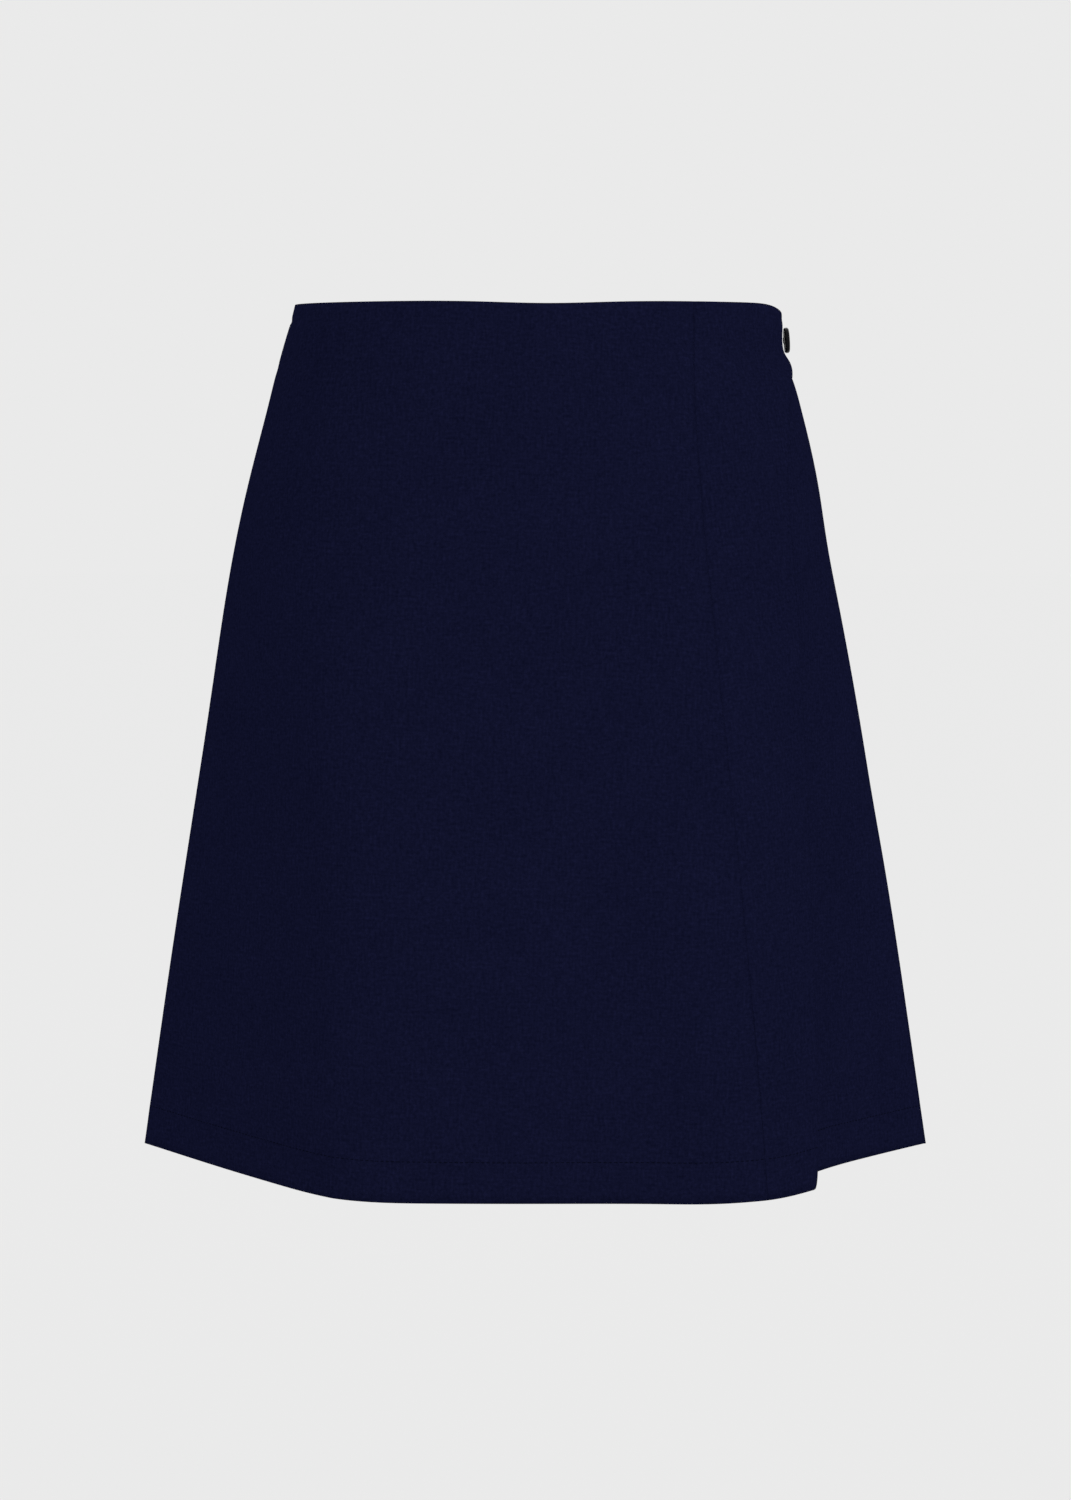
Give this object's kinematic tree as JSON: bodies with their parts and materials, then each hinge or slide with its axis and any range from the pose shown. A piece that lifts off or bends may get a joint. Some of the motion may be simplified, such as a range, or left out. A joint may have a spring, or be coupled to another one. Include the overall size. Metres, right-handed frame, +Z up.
{
  "type": "wrap-front skort",
  "caption": "Short A-line skort: shorts under a flat wrap front panel that buttons at the wearer's left waist, held in its worn, hollow shape.",
  "frame": {"origin": "middle of the waist opening, at the height of the waist edge over the side seams", "axes": "+Z up towards the wearer's head, -Y to the wearer's front, +X to the wearer's left"},
  "size_m": [0.4143, 0.251, 0.44],
  "materials": {
    "suiting": "matte plain-weave crepe, dark navy",
    "button_resin": "satin polyester resin, near black",
    "thread": "spun sewing thread, dark navy"
  },
  "bodies": {
    "root": {"wrap_front": "suiting", "wrap_side": "suiting", "front_leg_right": "suiting", "front_leg_left": "suiting", "back_leg_right": "suiting", "back_leg_left": "suiting", "button": "button_resin", "button_shank": "thread"}
  },
  "joints": []
}
